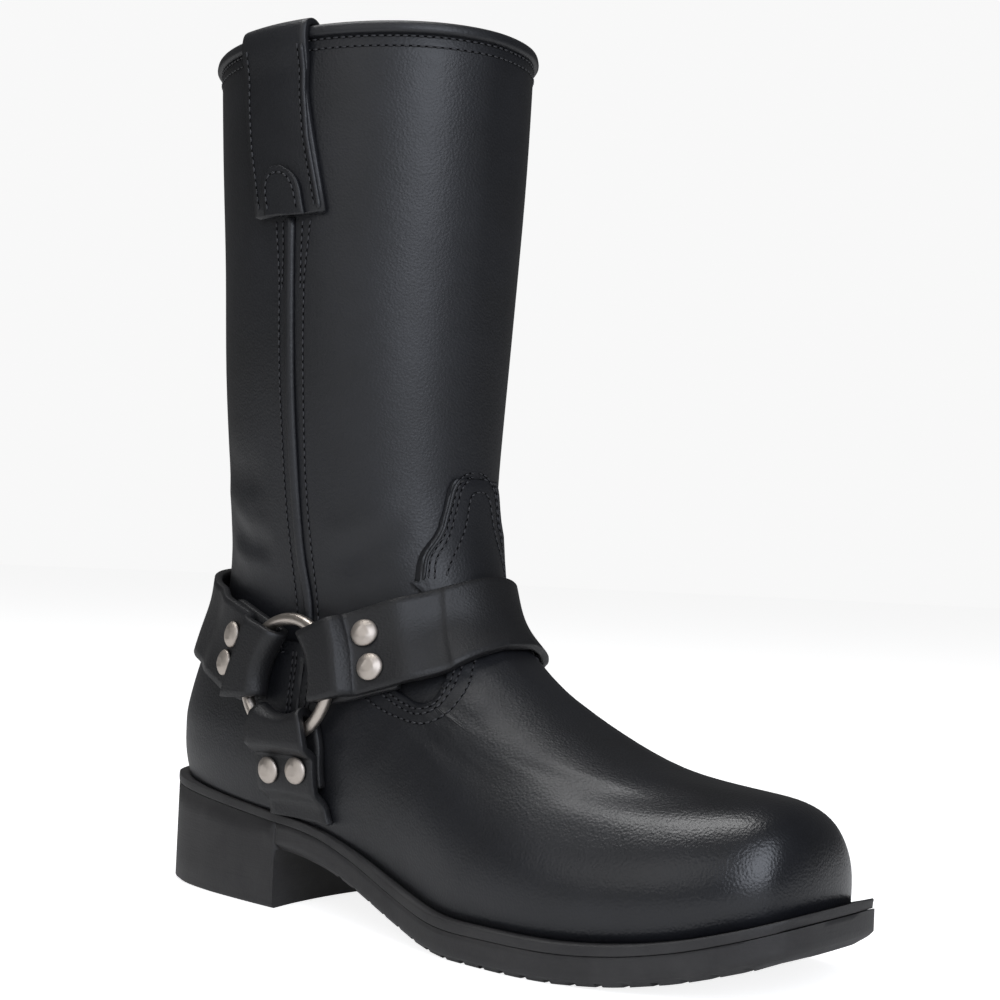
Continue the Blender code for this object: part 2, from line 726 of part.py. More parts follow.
def make_counter():
    x_seam = seam_x(SEAM_TOP * HEIGHT) - GAP
    polygon = [(x_seam, -10.0), (x_seam, SEAM_TOP * HEIGHT), (-40.0, COUNTER_TOP_BACK * HEIGHT), (-40.0, -10.0)]
    return overlay("counter", polygon, JOIN_Z)


def make_binding():
    """The rolled rim over the collar's edge."""
    angles = ring_angles()
    inner = -WALL - BINDING_PROUD
    section = [
        (BINDING_PROUD, -BINDING_DEPTH),
        (BINDING_PROUD + 0.5, -0.55 * BINDING_DEPTH),
        (BINDING_PROUD - 0.2, -0.15 * BINDING_DEPTH),
        (-WALL / 2, 0.0),
        (inner + 0.2, -0.15 * BINDING_DEPTH),
        (inner - 0.4, -0.55 * BINDING_DEPTH),
        (inner, -BINDING_DEPTH),
    ]
    loops = [surface(shaft_level(HEIGHT + drop), angles, lift) for lift, drop in section]
    points, faces = loft(loops, closed_loft=True)
    return add_piece("collar_binding", points, faces, LEATHER)


# Straps and hardware

UNDER_LIFT = OVERLAY_THICK + LEATHER_GAP + STRAP_GAP + STRAP_THICK / 2
RING_LIFT = UNDER_LIFT + STRAP_THICK / 2 + LEATHER_GAP + RING_WIRE / 2
OVER_WIRE_LIFT = RING_LIFT + RING_WIRE / 2 + LEATHER_GAP + STRAP_THICK / 2
OVER_FLAP_LIFT = UNDER_LIFT + STRAP_THICK + STRAP_GAP
RING_PLACE = (RING_CENTRE[0] * SOLE_LENGTH, RING_CENTRE[1] * HEIGHT)
# A strap's fall past its flap: share of the distance, share of the height still left
STRAP_FALL = [(0.35, 0.82), (0.7, 0.25), (1.0, 0.0)]


def ring_frame(side):
    """Middle of a ring and the directions along, up and out of it, from the boot's side under it."""
    x, z = RING_PLACE
    reach = RING_OUTER / 2
    spots = on_boot([x, x - reach, x + reach, x, x], [z, z, z, z - reach, z + reach], side)
    along, up = spots[2] - spots[1], spots[4] - spots[3]
    along /= np.linalg.norm(along)
    up -= along * float(up @ along)
    up /= np.linalg.norm(up)
    out = np.cross(along, up)
    out *= side * np.sign(out[1])
    spread = np.linspace(-HOLD_START, HOLD_START, 9)
    around = on_boot(x + spread[:, None], z + spread, side)
    proud = float(((around - spots[0]) @ out).max())
    return spots[0] + out * (RING_LIFT + proud), along, up, out


RING_FRAMES = {side: ring_frame(side) for side in (-1, 1)}


def on_strap(level, angle, lift, side):
    """Point of a strap: in the ring's plane close to the ring, over the boot's leather farther off."""
    free = surface(level, angle, lift)
    centre, _, _, out = RING_FRAMES[side]
    away = free - centre
    rise = np.maximum(np.asarray(lift, float) - RING_LIFT - away @ out, 0)
    far = np.hypot(away[..., 0], away[..., 2])
    hold = np.clip((HOLD_END - far) / (HOLD_END - HOLD_START), 0, 1)
    return free + out * (rise * hold * hold * (3 - 2 * hold))[..., None]


def folded_route(fold, length, fall):
    """Route of a strap's end round the ring's wire: distance from the fold and lift of its middle.

    It starts at the end of the sewn-down flap, turns round at the fold and runs out over the wire and the
    flap. Past the flap it falls to the leather over a distance.
    """
    bend = (OVER_WIRE_LIFT - UNDER_LIFT) / 2
    wire_end = RING_OUTER / 2 - fold + LEATHER_GAP
    flat = wire_end + 3.6
    route = [(length, UNDER_LIFT), ((flat + length) / 2, UNDER_LIFT), (flat, UNDER_LIFT), (0.7 * flat, UNDER_LIFT)]
    turns = 7
    for i in range(turns):
        angle = -math.pi / 2 + math.pi * i / (turns - 1)
        route.append((bend + STRAP_THICK / 2 - bend * math.cos(angle), UNDER_LIFT + bend + bend * math.sin(angle)))
    half_way = (OVER_WIRE_LIFT + OVER_FLAP_LIFT) / 2
    route += [(wire_end, OVER_WIRE_LIFT), (wire_end + 1.8, half_way), (flat, OVER_FLAP_LIFT)]
    route += [((flat + length) / 2, OVER_FLAP_LIFT), (length + 1.0, OVER_FLAP_LIFT)]
    drop = OVER_FLAP_LIFT - UNDER_LIFT
    route += [(length + share * fall, UNDER_LIFT + left * drop) for share, left in STRAP_FALL]
    return route


def strap_rings(route, place, side, turned, spans=3):
    """Cross sections of a strap along a route of distances and lifts.

    place() gives the level and angle of both edges at distances from the fold.
    """
    route = np.asarray(route, float)
    step = np.gradient(route, axis=0)
    step /= np.linalg.norm(step, axis=1, keepdims=True)
    skins = []
    for sign in (-turned, turned):
        distance = route[:, 0] - sign * step[:, 1] * STRAP_THICK / 2
        lift = route[:, 1] + sign * step[:, 0] * STRAP_THICK / 2
        columns = []
        for share in np.linspace(0, 1, spans + 1):
            bow = FOLD_BOW * (1 - (2 * share - 1) ** 2) * np.clip(1 - distance / BOW_REACH, 0, 1)
            one, other = place(distance + bow)
            level = one[0] + (other[0] - one[0]) * share
            angle = one[1] + (other[1] - one[1]) * share
            columns.append(on_strap(level, angle, lift, side))
        skins.append(np.stack(columns, axis=1))
    return [np.vstack([low, high[::-1]]) for low, high in zip(*skins)]


def meet(edge, x, z):
    """Where a strap's edge, seen from the side, meets a line that climbs from below it."""
    over = z - follow(edge, x / SOLE_LENGTH) * HEIGHT
    i = int(np.nonzero(over > 0)[0][0])
    share = over[i - 1] / (over[i - 1] - over[i])
    return float(x[i - 1] + (x[i] - x[i - 1]) * share)


def meet_front(edge):
    return meet(edge, FRONT_CURVE[:, 0], FRONT_CURVE[:, 1])


def meet_back(edge):
    z = np.linspace(0.2, 0.5, 200) * HEIGHT
    return meet(edge, back_x(z), z)


def round_strap(name, upper, lower, end_of, folds, towards):
    """A strap from ring to ring round the front (1) or the back (-1) of the ankle."""
    corners = [fold * SOLE_LENGTH for fold in folds]
    ends = [end_of(upper), end_of(lower)]
    reach = sum(abs(end - corner) for end, corner in zip(ends, corners)) / 2

    def place_on(side):
        def place(distance):
            share = np.minimum(distance / reach, 1.0)
            found = []
            for corner, end, edge in zip(corners, ends, (upper, lower)):
                x = corner + (end - corner) * share
                z = follow(edge, x / SOLE_LENGTH) * HEIGHT
                level, angle = locate(np.where(share > 0.999, x + towards * 30.0, x), z, side)
                found.append((level, angle + 2 * math.pi if towards < 0 and side > 0 else angle))
            return found
        return place

    fold = math.hypot((corners[0] + corners[1]) / 2 - RING_PLACE[0], 2.5)
    ending = folded_route(fold, FLAP_LENGTH, FLAP_FALL)
    last = ending[-1][0] / reach
    quarter = np.linspace(math.asin(last), math.pi / 2, 10)[1:]
    route = ending + [(reach * math.sin(q), UNDER_LIFT + STRAP_EASE * math.sin(q)) for q in quarter]
    route[-1] = (reach * 1.01, UNDER_LIFT + STRAP_EASE)
    loops = strap_rings(route, place_on(-1), -1, 1)
    other = strap_rings(route, place_on(1), 1, 1)[:-1]
    points, faces = loft(loops + other[::-1])
    return add_piece(name, points, faces, STRAP)


def make_under_strap(name, side):
    """The strap from the ring down to the welt."""
    fold_z = RING_PLACE[1] - UNDER_FOLD

    def place(distance):
        found = []
        for column in (1, 2):
            z = fold_z - distance
            for _ in range(2):
                x = follow(UNDER_STRAP, z / HEIGHT, column) * SOLE_LENGTH
                z = np.maximum(z, feather(x) + LEATHER_GAP)
            found.append(locate(x, z, side))
        return found

    route = folded_route(UNDER_FOLD, UNDER_FLAP_LENGTH, UNDER_FLAP_FALL)
    foot = fold_z - float(feather(RING_PLACE[0])) - LEATHER_GAP
    route += [((route[-1][0] + foot) / 2, UNDER_LIFT), (foot, UNDER_LIFT)]
    points, faces = loft(strap_rings(route, place, side, 1))
    return add_piece(name, points, faces, STRAP)


def make_ring(name, side):
    """One harness ring, between the straps' layers."""
    centre, along, up, out = RING_FRAMES[side]
    segments, facets = 24, 6
    middle = (RING_OUTER - RING_WIRE) / 2
    roll = np.arange(facets)[:, None] / facets * 2 * np.pi
    loops = []
    for i in range(segments):
        turn = 2 * math.pi * i / segments
        spoke = along * math.cos(turn) + up * math.sin(turn)
        loops.append(centre + spoke * (middle + RING_WIRE / 2 * np.cos(roll)) + out * RING_WIRE / 2 * np.sin(roll))
    points, faces = loft(loops, closed_loft=True)
    return add_piece(name, points, faces, NICKEL, smooth=60)


def make_rivet(name, x, z, side):
    """A domed rivet cap that follows the strap's slope."""
    spread = RIVET_WIDTH / 2
    turn = np.arange(12)[:, None] / 12 * 2 * np.pi
    level, angle = locate(x + spread * np.append(np.cos(turn), 0), z + spread * np.append(np.sin(turn), 0), side)
    spots = on_strap(level, angle, np.full(13, OVER_FLAP_LIFT + STRAP_THICK / 2), side)
    along, up = spots[0] - spots[6], spots[3] - spots[9]
    along /= np.linalg.norm(along)
    up -= along * float(up @ along)
    up /= np.linalg.norm(up)
    out = np.cross(along, up)
    out *= side * np.sign(out[1])
    base = spots[12] + out * (float(((spots - spots[12]) @ out).max()) + LEATHER_GAP)
    circle = spread * (np.cos(turn) * along + np.sin(turn) * up)
    profile = [(1.0, 0.0), (0.95, 0.45), (0.5, 1.0)]
    points, faces = loft([base + circle * width + out * rise * RIVET_HEIGHT for width, rise in profile])
    return add_piece(name, points, faces, NICKEL, smooth=60)


def side_band(name, heights, reaches, middles, inner, outer, side, spans=3):
    """A flat strip that climbs the boot's side, from its half widths at some heights."""
    x = middles[:, None] + np.linspace(-1, 1, spans + 1) * reaches[:, None]
    skins = [on_boot(x, heights[:, None], side, lift) for lift in (inner, outer)]
    points, faces = loft([np.vstack([low, high[::-1]]) for low, high in zip(*skins)])
    return add_piece(name, points, faces, STRAP)


def make_pull_strap(name, side):
    """A pull strap: up the outside, over the collar and down inside."""
    foot, inside_foot = PULL_FOOT * HEIGHT, PULL_INSIDE_FOOT * HEIGHT
    half = PULL_THICK / 2
    out = BINDING_PROUD + 0.5 + GAP + half
    flat = LEATHER_GAP + half
    hidden = -WALL - BINDING_PROUD - 0.4 - GAP - half
    centre, bow = (out + hidden) / 2, (out - hidden) / 2
    top = HEIGHT + GAP + half
    route = [(foot, flat), ((foot + 2 * HEIGHT) / 3, flat), (HEIGHT - 3.5 * BINDING_DEPTH, flat)]
    route += [(HEIGHT - 1.6 * BINDING_DEPTH, out), (HEIGHT - 0.6 * BINDING_DEPTH, out)]
    for i in range(1, 6):
        turn = math.pi * i / 6
        route.append((top - PULL_TOP_RISE + PULL_TOP_RISE * math.sin(turn), centre + bow * math.cos(turn)))
    route += [(HEIGHT - 0.6 * BINDING_DEPTH, hidden), (HEIGHT - 1.6 * BINDING_DEPTH, hidden)]
    low = -WALL - LEATHER_GAP - half
    route += [(HEIGHT - 3.5 * BINDING_DEPTH, low), (inside_foot, low)]
    route = np.array(route)
    step = np.gradient(route, axis=0)
    step /= np.linalg.norm(step, axis=1, keepdims=True)
    skins = []
    for sign in (-1, 1):
        height = route[:, 0] - sign * step[:, 1] * half
        below = np.minimum(height, HEIGHT)
        x = follow(PULL_MIDDLE, below / HEIGHT) * SOLE_LENGTH
        level = shaft_level(below)[:, None]
        ends = angle_at(level, x[:, None] + np.array([-1, 1]) * PULL_HALF_WIDTH, side)
        angle = ends[:, :1] + (ends[:, 1:] - ends[:, :1]) * np.linspace(0, 1, 4)
        skin = surface(level, angle, (route[:, 1] + sign * step[:, 0] * half)[:, None])
        skin[..., 2] += np.maximum(height - HEIGHT, 0)[:, None]
        skins.append(skin)
    points, faces = loft([np.vstack([low, high[::-1]]) for low, high in zip(*skins)])
    return add_piece(name, points, faces, STRAP)


def make_pull_tab(name, side):
    """The arched patch over the foot of a pull strap."""
    low = PULL_THICK + 2 * LEATHER_GAP
    share = np.linspace(0, 1, 7)
    heights = (PULL_FOOT + (TAB_TOP - PULL_FOOT) * share) * HEIGHT
    reaches = TAB_HALF_WIDTH * np.sqrt(1 - np.clip((share - 0.5) / 0.52, 0, 1) ** 2)
    middles = follow(PULL_MIDDLE, heights / HEIGHT) * SOLE_LENGTH
    return side_band(name, heights, reaches, middles, low, low + TAB_THICK, side)


def make_piping(name, side):
    """The raised roll down a side seam, from the pull strap to the ring."""
    top, foot = PULL_FOOT * HEIGHT - GAP - 0.4, SEAM_TOP * HEIGHT + LEATHER_GAP + 1.0
    z = np.linspace(foot, top, 12)[:, None]
    across = np.array([-1.0, -0.75, 0.0, 0.75, 1.0])
    lifts = np.array([LEATHER_GAP, 0.7 * PIPING_HEIGHT, PIPING_HEIGHT, 0.7 * PIPING_HEIGHT, LEATHER_GAP])
    middle = follow(SEAM, z / HEIGHT) * SOLE_LENGTH
    points, faces = loft(list(on_boot(middle + across * PIPING_HALF_WIDTH, z, side, lifts)))
    return add_piece(name, points, faces, LEATHER)


def clear_scene():
    for item in list(bpy.data.objects):
        bpy.data.objects.remove(item, do_unlink=True)


def centre_on_origin(pieces):
    """Carry the boot by an empty so that its box stands centred on the origin."""
    corners = np.vstack([[v.co for v in piece.data.vertices] for piece in pieces])
    low, high = corners.min(axis=0), corners.max(axis=0)
    stand = bpy.data.objects.new("boot", None)
    bpy.context.collection.objects.link(stand)
    stand.location = (-(low[0] + high[0]) / 2, -(low[1] + high[1]) / 2, -low[2])
    for piece in pieces:
        piece.parent = stand


def main():
    clear_scene()
    pieces = [make_outsole(), make_heel(), make_welt(), make_insole(), make_upper(), make_vamp(), make_counter()]
    pieces.append(make_binding())
    pieces.append(round_strap("strap_front", FRONT_STRAP_UPPER, FRONT_STRAP_LOWER, meet_front, FRONT_FOLD, 1))
    pieces.append(round_strap("strap_back", BACK_STRAP_UPPER, BACK_STRAP_LOWER, meet_back, BACK_FOLD, -1))
    for word, side in (("outer", -1), ("inner", 1)):
        pieces.append(make_under_strap("strap_under_" + word, side))
        pieces.append(make_ring("ring_" + word, side))
        pieces.append(make_pull_strap("pull_strap_" + word, side))
        pieces.append(make_pull_tab("pull_tab_" + word, side))
        pieces.append(make_piping("side_piping_" + word, side))
        for strap, places in RIVETS.items():
            for number, (x, z) in enumerate(places, 1):
                name = f"rivet_{strap}_{word}_{number}"
                pieces.append(make_rivet(name, x * SOLE_LENGTH, z * HEIGHT, side))
    centre_on_origin(pieces)


main()
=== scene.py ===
import math

import bpy
import numpy as np
from mathutils import Matrix, Vector
from mathutils.bvhtree import BVHTree


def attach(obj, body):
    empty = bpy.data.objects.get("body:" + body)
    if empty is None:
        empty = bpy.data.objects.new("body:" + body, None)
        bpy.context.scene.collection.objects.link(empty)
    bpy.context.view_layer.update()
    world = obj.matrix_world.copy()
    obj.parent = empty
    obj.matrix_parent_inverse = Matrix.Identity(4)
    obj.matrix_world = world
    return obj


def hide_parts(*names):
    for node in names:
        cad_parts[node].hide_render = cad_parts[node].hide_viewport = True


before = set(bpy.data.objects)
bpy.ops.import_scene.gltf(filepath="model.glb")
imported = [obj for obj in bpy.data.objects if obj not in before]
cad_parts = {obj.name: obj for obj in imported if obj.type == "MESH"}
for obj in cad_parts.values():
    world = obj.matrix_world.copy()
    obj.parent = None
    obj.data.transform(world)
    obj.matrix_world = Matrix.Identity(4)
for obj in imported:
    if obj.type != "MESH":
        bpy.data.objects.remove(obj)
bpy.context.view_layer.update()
bpy.ops.object.select_all(action="DESELECT")

# The boot's pattern is drawn in millimetres from the back of the heel: x to the toe, z up from the floor.
# These two lie between that corner and the origin of the model.
HEEL_TO_MIDDLE = 153.0
ASIDE = -0.2
# Which way along y each side of the boot lies
OUTER, INNER = -1, 1
SIDES = ((OUTER, "outer"), (INNER, "inner"))


def spot(x, y, z):
    """A point of the pattern, in the frame of the model."""
    return Vector(((x - HEEL_TO_MIDDLE) / 1000, (y - ASIDE) / 1000, z / 1000))


# Finishes

def tint(shade):
    """An sRGB hex colour as linear light."""
    parts = [int(shade[i:i + 2], 16) / 255 for i in (1, 3, 5)]
    return tuple(p / 12.92 if p <= 0.04045 else ((p + 0.055) / 1.055) ** 2.4 for p in parts) + (1.0,)


def add(tree, kind, settings=None, links=None):
    """Add a node with its settings, by attribute or socket, and its links."""
    node = tree.nodes.new(kind)
    for key, value in (settings or {}).items():
        if isinstance(key, str) and hasattr(node, key):
            setattr(node, key, value)
        else:
            node.inputs[key].default_value = value
    for key, source in (links or {}).items():
        tree.links.new(source, node.inputs[key])
    return node


def start_finish(name, roughness, metallic=0.0, ior=1.5):
    """A new material with its tree, its shader and the link that draws a pattern on object coordinates."""
    material = bpy.data.materials.new(name)
    material.use_nodes = True
    tree = material.node_tree
    shader = tree.nodes["Principled BSDF"]
    shader.inputs["Roughness"].default_value = roughness
    shader.inputs["Metallic"].default_value = metallic
    shader.inputs["IOR"].default_value = ior
    here = {"Vector": add(tree, "ShaderNodeTexCoord").outputs["Object"]}
    return material, tree, shader, here


def per_metre(millimetres):
    """The scale that gives a pattern this size."""
    return 1000.0 / millimetres


# Where the leather's buffing starts and where it is full, in metres ahead of the origin
INSTEP_AT, TOE_CAP_AT = 0.03, 0.125
# How far handling changes its roughness, up and down
HANDLED = 0.045


def full_grain_leather(name, dark, light, grain, rough_shaft, rough_toe, relief):
    """Oiled full-grain leather: black and satin, with pores and faint clouds, buffed towards the toe."""
    material, tree, shader, here = start_finish(name, rough_shaft, ior=1.5)
    cloud = add(tree, "ShaderNodeTexNoise",
                {"Scale": per_metre(45), "Detail": 4.0, "Roughness": 0.55}, here)
    shade = add(tree, "ShaderNodeValToRGB", {}, {"Fac": cloud.outputs["Fac"]})
    shade.color_ramp.elements[0].position = 0.3
    shade.color_ramp.elements[0].color = tint(dark)
    shade.color_ramp.elements[1].position = 0.72
    shade.color_ramp.elements[1].color = tint(light)
    tree.links.new(shade.outputs["Color"], shader.inputs["Base Color"])
    # Buffed from the instep to the toe cap
    axes = add(tree, "ShaderNodeSeparateXYZ", {}, here)
    buffed = add(tree, "ShaderNodeMapRange",
                 {"interpolation_type": "SMOOTHSTEP", "From Min": INSTEP_AT, "From Max": TOE_CAP_AT,
                  "To Min": rough_shaft, "To Max": rough_toe}, {"Value": axes.outputs["X"]})
    handled = add(tree, "ShaderNodeTexNoise",
                  {"Scale": per_metre(12), "Detail": 5.0, "Roughness": 0.6}, here)
    spread = add(tree, "ShaderNodeMapRange", {"To Min": -HANDLED, "To Max": HANDLED},
                 {"Value": handled.outputs["Fac"]})
    rough = add(tree, "ShaderNodeMath", {"operation": "ADD"},
                {0: buffed.outputs["Result"], 1: spread.outputs["Result"]})
    tree.links.new(rough.outputs["Value"], shader.inputs["Roughness"])
    # Pebbled grain, pores and slow unevenness of the hide
    pebble = add(tree, "ShaderNodeTexVoronoi",
                 {"feature": "SMOOTH_F1", "Scale": per_metre(grain), "Smoothness": 0.6}, here)
    pores = add(tree, "ShaderNodeTexNoise", {"Scale": per_metre(grain * 0.7), "Detail": 3.0}, here)
    hide = add(tree, "ShaderNodeTexNoise", {"Scale": per_metre(22), "Detail": 3.0, "Roughness": 0.5}, here)
    slow = add(tree, "ShaderNodeBump", {"Strength": 0.22, "Distance": 0.0009},
               {"Height": hide.outputs["Fac"]})
    fine = add(tree, "ShaderNodeBump", {"Strength": relief, "Distance": 0.00025},
               {"Height": pebble.outputs["Distance"], "Normal": slow.outputs["Normal"]})
    pricked = add(tree, "ShaderNodeBump", {"Strength": relief * 0.8, "Distance": 0.00012},
                  {"Height": pores.outputs["Fac"], "Normal": fine.outputs["Normal"]})
    tree.links.new(pricked.outputs["Normal"], shader.inputs["Normal"])
    return material


def moulded_rubber():
    """Moulded nitrile rubber: dull charcoal, dusty in patches, with a faint buffed nap."""
    material, tree, shader, here = start_finish("moulded_nitrile_rubber", 0.62, ior=1.52)
    dust = add(tree, "ShaderNodeTexNoise", {"Scale": per_metre(18), "Detail": 6.0, "Roughness": 0.65}, here)
    shade = add(tree, "ShaderNodeValToRGB", {}, {"Fac": dust.outputs["Fac"]})
    shade.color_ramp.elements[0].position = 0.35
    shade.color_ramp.elements[0].color = tint("#201F20")
    shade.color_ramp.elements[1].position = 0.75
    shade.color_ramp.elements[1].color = tint("#302F2F")
    tree.links.new(shade.outputs["Color"], shader.inputs["Base Color"])
    nap = add(tree, "ShaderNodeTexNoise", {"Scale": per_metre(1.1), "Detail": 3.0, "Roughness": 0.6}, here)
    # Trimming marks run along the edge, a few tenths of a millimetre apart
    stretched = add(tree, "ShaderNodeMapping", {"Scale": (0.06, 0.06, 1.0)}, here)
    trimmed = add(tree, "ShaderNodeTexNoise", {"Scale": per_metre(0.9), "Detail": 2.0},
                  {"Vector": stretched.outputs["Vector"]})
    wall = add(tree, "ShaderNodeBump", {"Strength": 0.35, "Distance": 0.00025},
               {"Height": trimmed.outputs["Fac"]})
    rough = add(tree, "ShaderNodeBump", {"Strength": 0.4, "Distance": 0.0003},
                {"Height": nap.outputs["Fac"], "Normal": wall.outputs["Normal"]})
    tree.links.new(rough.outputs["Normal"], shader.inputs["Normal"])
    return material


def nickel_plate(name, smooth, dull):
    """Nickel-plated steel, tumbled: warm light grey, satin, with fine rubbed marks."""
    material, tree, shader, here = start_finish(name, smooth, metallic=1.0)
    shader.inputs["Base Color"].default_value = tint("#C4BBB2")
    rubbed = add(tree, "ShaderNodeTexNoise",
                 {"Scale": per_metre(1.4), "Detail": 4.0, "Roughness": 0.6}, here)
    spread = add(tree, "ShaderNodeMapRange", {"To Min": smooth, "To Max": dull},
                 {"Value": rubbed.outputs["Fac"]})
    tree.links.new(spread.outputs["Result"], shader.inputs["Roughness"])
    marks = add(tree, "ShaderNodeBump", {"Strength": 0.12, "Distance": 0.0002},
                {"Height": rubbed.outputs["Fac"]})
    tree.links.new(marks.outputs["Normal"], shader.inputs["Normal"])
    return material


def bonded_thread():
    """Bonded polyester thread: black, dull, slightly lighter than the leather, twisted in fine turns."""
    material, tree, shader, here = start_finish("bonded_polyester_thread", 0.55)
    shader.inputs["Base Color"].default_value = tint("#2A2A2D")
    twist = add(tree, "ShaderNodeTexNoise", {"Scale": per_metre(0.5), "Detail": 2.0}, here)
    turns = add(tree, "ShaderNodeBump", {"Strength": 0.5, "Distance": 0.0001},
                {"Height": twist.outputs["Fac"]})
    tree.links.new(turns.outputs["Normal"], shader.inputs["Normal"])
    return material


def painted_shade_cord_finish():
    """Painted shade for where a seam's stitches pull into the leather: near black and dull, with little
    reflection, as if hardly reached by light.
    """
    material, tree, shader, here = start_finish("painted_seam_shade", 0.9)
    shader.inputs["Base Color"].default_value = tint("#050506")
    shader.inputs["Specular IOR Level"].default_value = 0.1
    raw = add(tree, "ShaderNodeTexNoise", {"Scale": per_metre(0.6), "Detail": 2.0}, here)
    floor = add(tree, "ShaderNodeBump", {"Strength": 0.4, "Distance": 0.0001},
                {"Height": raw.outputs["Fac"]})
    tree.links.new(floor.outputs["Normal"], shader.inputs["Normal"])
    return material


def lining_leather():
    """Unglazed lining leather: grey-brown, matt, with a short nap."""
    material, tree, shader, here = start_finish("unglazed_lining_leather", 0.85)
    mottle = add(tree, "ShaderNodeTexNoise", {"Scale": per_metre(9), "Detail": 6.0, "Roughness": 0.7}, here)
    shade = add(tree, "ShaderNodeValToRGB", {}, {"Fac": mottle.outputs["Fac"]})
    shade.color_ramp.elements[0].color = tint("#2A2624")
    shade.color_ramp.elements[1].color = tint("#3B3632")
    tree.links.new(shade.outputs["Color"], shader.inputs["Base Color"])
    nap = add(tree, "ShaderNodeTexNoise", {"Scale": per_metre(0.8), "Detail": 3.0}, here)
    felted = add(tree, "ShaderNodeBump", {"Strength": 0.4, "Distance": 0.0003},
                 {"Height": nap.outputs["Fac"]})
    tree.links.new(felted.outputs["Normal"], shader.inputs["Normal"])
    return material


def insole_leather():
    """Vegetable-tanned insole leather: pale tan, matt, darker where it is handled."""
    material, tree, shader, here = start_finish("vegetable_tanned_insole", 0.8)
    mottle = add(tree, "ShaderNodeTexNoise",
                 {"Scale": per_metre(14), "Detail": 6.0, "Roughness": 0.6}, here)
    shade = add(tree, "ShaderNodeValToRGB", {}, {"Fac": mottle.outputs["Fac"]})
    shade.color_ramp.elements[0].color = tint("#7A6046")
    shade.color_ramp.elements[1].color = tint("#9A7F60")
    tree.links.new(shade.outputs["Color"], shader.inputs["Base Color"])
    grain = add(tree, "ShaderNodeTexNoise", {"Scale": per_metre(1.0), "Detail": 3.0}, here)
    fibre = add(tree, "ShaderNodeBump", {"Strength": 0.3, "Distance": 0.0002},
                {"Height": grain.outputs["Fac"]})
    tree.links.new(fibre.outputs["Normal"], shader.inputs["Normal"])
    return material


HIDE = full_grain_leather("oiled_full_grain_leather", "#101114", "#1B1C20", grain=0.95, rough_shaft=0.46,
                          rough_toe=0.32, relief=0.32)
STRAPPING = full_grain_leather("oiled_strap_leather", "#0E0E10", "#18181A", grain=0.85, rough_shaft=0.52,
                               rough_toe=0.5, relief=0.4)
RUBBER = moulded_rubber()
NICKEL = nickel_plate("satin_nickel_plate", smooth=0.26, dull=0.46)
CAPS = nickel_plate("tumbled_nickel_plate", smooth=0.42, dull=0.6)
THREAD = bonded_thread()
# Painted shade: a near-black, barely reflective finish for the cords laid along the seams
PAINTED_SHADE_CORD = painted_shade_cord_finish()
LINING = lining_leather()
INSOLE = insole_leather()


# Pieces that follow the solids

# Points of a solid that are one, in metres, and how flat and how square two faces make a quad, in degrees
MERGED = 0.00001
FLAT_QUAD, SQUARE_QUAD = 35, 60
# How finely a piece is rounded, in how many tries, and the furthest that one try moves a point, in metres
LEVELS, TRIES = 2, 2
LARGEST_MOVE = 0.0008
# The widest angle that is shaded smooth
SMOOTH_UNDER = 50


def edit(piece):
    """Open a piece in edit mode with everything selected."""
    bpy.ops.object.select_all(action="DESELECT")
    piece.select_set(True)
    bpy.context.view_layer.objects.active = piece
    bpy.ops.object.mode_set(mode="EDIT")
    bpy.ops.mesh.select_mode(type="EDGE")
    bpy.ops.mesh.select_all(action="SELECT")


def leave(piece):
    """Close edit mode and let go of the piece."""
    bpy.ops.object.mode_set(mode="OBJECT")
    piece.select_set(False)


def places_of(mesh):
    """The mesh's points as rows of x, y and z."""
    flat = np.zeros(len(mesh.vertices) * 3)
    mesh.vertices.foreach_get("co", flat)
    return flat.reshape(-1, 3)


def refine(piece):
    """Round the piece off so that its surface still passes through its own points, and shade it smooth."""
    modifier = piece.modifiers.new("rounded", "SUBSURF")
    modifier.levels = LEVELS
    modifier.render_levels = LEVELS
    wanted = places_of(piece.data)
    held = wanted.copy()
    for _ in range(TRIES):
        bpy.context.view_layer.update()
        rounded = piece.evaluated_get(bpy.context.evaluated_depsgraph_get())
        short = wanted - places_of(rounded.data)[:len(wanted)]
        held += np.clip(short, -LARGEST_MOVE, LARGEST_MOVE)
        piece.data.vertices.foreach_set("co", held.ravel())
        piece.data.update()
    bpy.ops.object.select_all(action="DESELECT")
    piece.select_set(True)
    bpy.context.view_layer.objects.active = piece
    bpy.ops.object.modifier_apply(modifier=modifier.name)
    bpy.ops.object.shade_smooth_by_angle(angle=math.radians(SMOOTH_UNDER))
    piece.select_set(False)


def dress(node, name, finish, corner=40.0, firm=0.8, plump=0.0):
    """A finer piece in place of a solid: merged, turned to quads, its corners firm and the rest rounded."""
    piece = bpy.data.objects.new(name, bpy.data.objects[node].data.copy())
    bpy.context.scene.collection.objects.link(piece)
    piece.data.materials.clear()
    piece.data.materials.append(finish)
    edit(piece)
    bpy.ops.mesh.remove_doubles(threshold=MERGED)
    bpy.ops.mesh.tris_convert_to_quads(face_threshold=math.radians(FLAT_QUAD),
                                       shape_threshold=math.radians(SQUARE_QUAD))
    if plump:
        bpy.ops.transform.shrink_fatten(value=plump / 1000)
    bpy.ops.mesh.select_all(action="DESELECT")
    bpy.ops.mesh.edges_select_sharp(sharpness=math.radians(corner))
    bpy.ops.transform.edge_crease(value=firm)
    leave(piece)
    refine(piece)
    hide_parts(node)
    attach(piece, "root")
    return piece


# The hollow's middle line, from the collar down to the heel and out to the toe
HOLLOW = [spot(80, 0, 345), spot(80, 0, 130), spot(95, 0, 80), spot(160, -4, 52), spot(235, -4, 36),
          spot(290, -1, 38)]
# How squarely a face must look at that line to be lining
FACES_HOLLOW = 0.25


